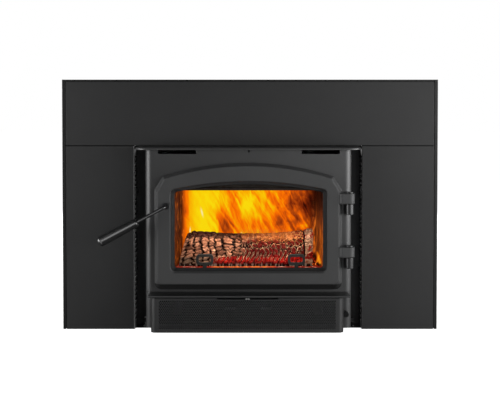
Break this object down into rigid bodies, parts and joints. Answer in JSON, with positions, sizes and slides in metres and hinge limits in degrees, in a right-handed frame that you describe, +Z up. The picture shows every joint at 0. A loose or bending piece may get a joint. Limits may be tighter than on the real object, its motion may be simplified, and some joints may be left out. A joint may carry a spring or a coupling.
{
  "type": "fireplace insert",
  "caption": "Wood-burning fireplace insert with a flat three-panel surround, an arched hinged glass door with a lever handle, an ash lip and a blower base.",
  "frame": {"origin": "middle of the object's bounding box in plan, on the hearth", "axes": "+X to the right seen from the room, +Y into the chimney, +Z up; the door faces -Y"},
  "size_m": [1.2, 0.5757, 0.8],
  "materials": {
    "surround_black": "satin powder coat",
    "trim_black": "satin powder coat",
    "recess_black": "flat high-temperature paint",
    "stove_black": "fine satin stove paint",
    "door_cast": "painted fine-grained casting",
    "andiron_iron": "painted casting, slightly blue grey",
    "grille_black": "satin perforated sheet",
    "galvanised": "galvanised sheet with a fine spangle",
    "firebox_steel": "mill-finish plate, heat darkened",
    "stainless": "heat-tinted stainless tube",
    "firebrick": "dry-pressed refractory brick",
    "vermiculite": "compressed vermiculite board",
    "ceramic_glass": "clear glass-ceramic",
    "rope_gasket": "braided fibre rope",
    "hinge_steel": "turned steel",
    "hinge_black": "semi-gloss black",
    "bronze": "plain bronze washer",
    "rod_steel": "polished black nickel",
    "grip_gloss": "gloss black moulding",
    "knob_plastic": "semi-matt black moulding",
    "control_plastic": "moulded switch body",
    "black_oxide": "black oxide",
    "zinc_plate": "zinc plated",
    "charred_wood": "split log with charred checks",
    "motor_paint": "grey enamel",
    "grommet_rubber": "moulded rubber"
  },
  "bodies": {
    "root": {"air_inlet_box": "galvanised", "air_wash_deflector": "firebox_steel", "andirons": "andiron_iron", "ash_lip": "stove_black", "back_bricks": "firebrick", "baffle_board": "vermiculite", "blower_grille": "grille_black", "blower_housing": "stove_black", "blower_motor": "motor_paint", "blower_scrolls": "galvanised", "body_front_shell": "stove_black", "body_hinge_knuckles": "hinge_black", "casing_back": "galvanised", "casing_base": "galvanised", "casing_left": "galvanised", "casing_right": "galvanised", "casing_top": "galvanised", "closure_strips": "recess_black", "edge_trims": "trim_black", "fan_speed_control": "control_plastic", "firebox_back": "firebox_steel", "firebox_floor": "firebox_steel", "firebox_roof": "firebox_steel", "firebox_side_plates": "firebox_steel", "firebox_stands": "galvanised", "floor_bricks": "firebrick", "flue_collar": "firebox_steel", "fuel_log": "charred_wood", "hinge_pins": "hinge_black", "hinge_washers": "bronze", "latch_catch": "firebox_steel", "levelling_bolts": "zinc_plate", "levelling_brackets": "recess_black", "panel_joining_plates": "recess_black", "power_cord_grommet": "grommet_rubber", "secondary_air_tubes": "stainless", "side_bricks": "firebrick", "surround_brackets": "recess_black", "surround_left_panel": "surround_black", "surround_right_panel": "surround_black", "surround_screws": "black_oxide", "surround_top_panel": "surround_black", "top_plate": "stove_black"},
    "door": {"door_frame": "door_cast", "glass_clips": "zinc_plate", "glass_clip_screws": "zinc_plate", "door_glass": "ceramic_glass", "glass_gasket": "rope_gasket", "door_gasket": "rope_gasket", "door_hinge_lugs": "door_cast", "handle_bushing": "black_oxide"},
    "door_handle": {"handle_rod": "rod_steel", "handle_grip": "grip_gloss", "latch_cam": "hinge_steel", "latch_nut": "zinc_plate"},
    "air_control": {"air_valve_plate": "zinc_plate", "air_control_lever": "zinc_plate"},
    "fan_knob": {"fan_speed_knob": "knob_plastic"},
    "blower_rotor": {"blower_shaft": "hinge_steel", "blower_wheels": "galvanised"}
  },
  "joints": [
    {"name": "door_hinge", "type": "hinge", "parent": "root", "child": "door", "pos_m": [0.3062, -0.238, 0.33], "axis": [0, 0, 1], "range_deg": [0, 125]},
    {"name": "handle_turn", "type": "hinge", "parent": "door", "child": "door_handle", "pos_m": [-0.258, -0.238, 0.4074], "axis": [0, 1, 0], "range_deg": [0, 90]},
    {"name": "air_slide", "type": "slide", "parent": "root", "child": "air_control", "axis": [1, 0, 0], "range_m": [-0.08, 0.08]},
    {"name": "fan_knob_turn", "type": "hinge", "parent": "root", "child": "fan_knob", "pos_m": [0.297, -0.228, 0.071], "axis": [0, 1, 0], "range_deg": [0, 270]},
    {"name": "blower_spin", "type": "hinge", "parent": "root", "child": "blower_rotor", "pos_m": [0, -0.158, 0.072], "axis": [1, 0, 0], "continuous": true}
  ]
}
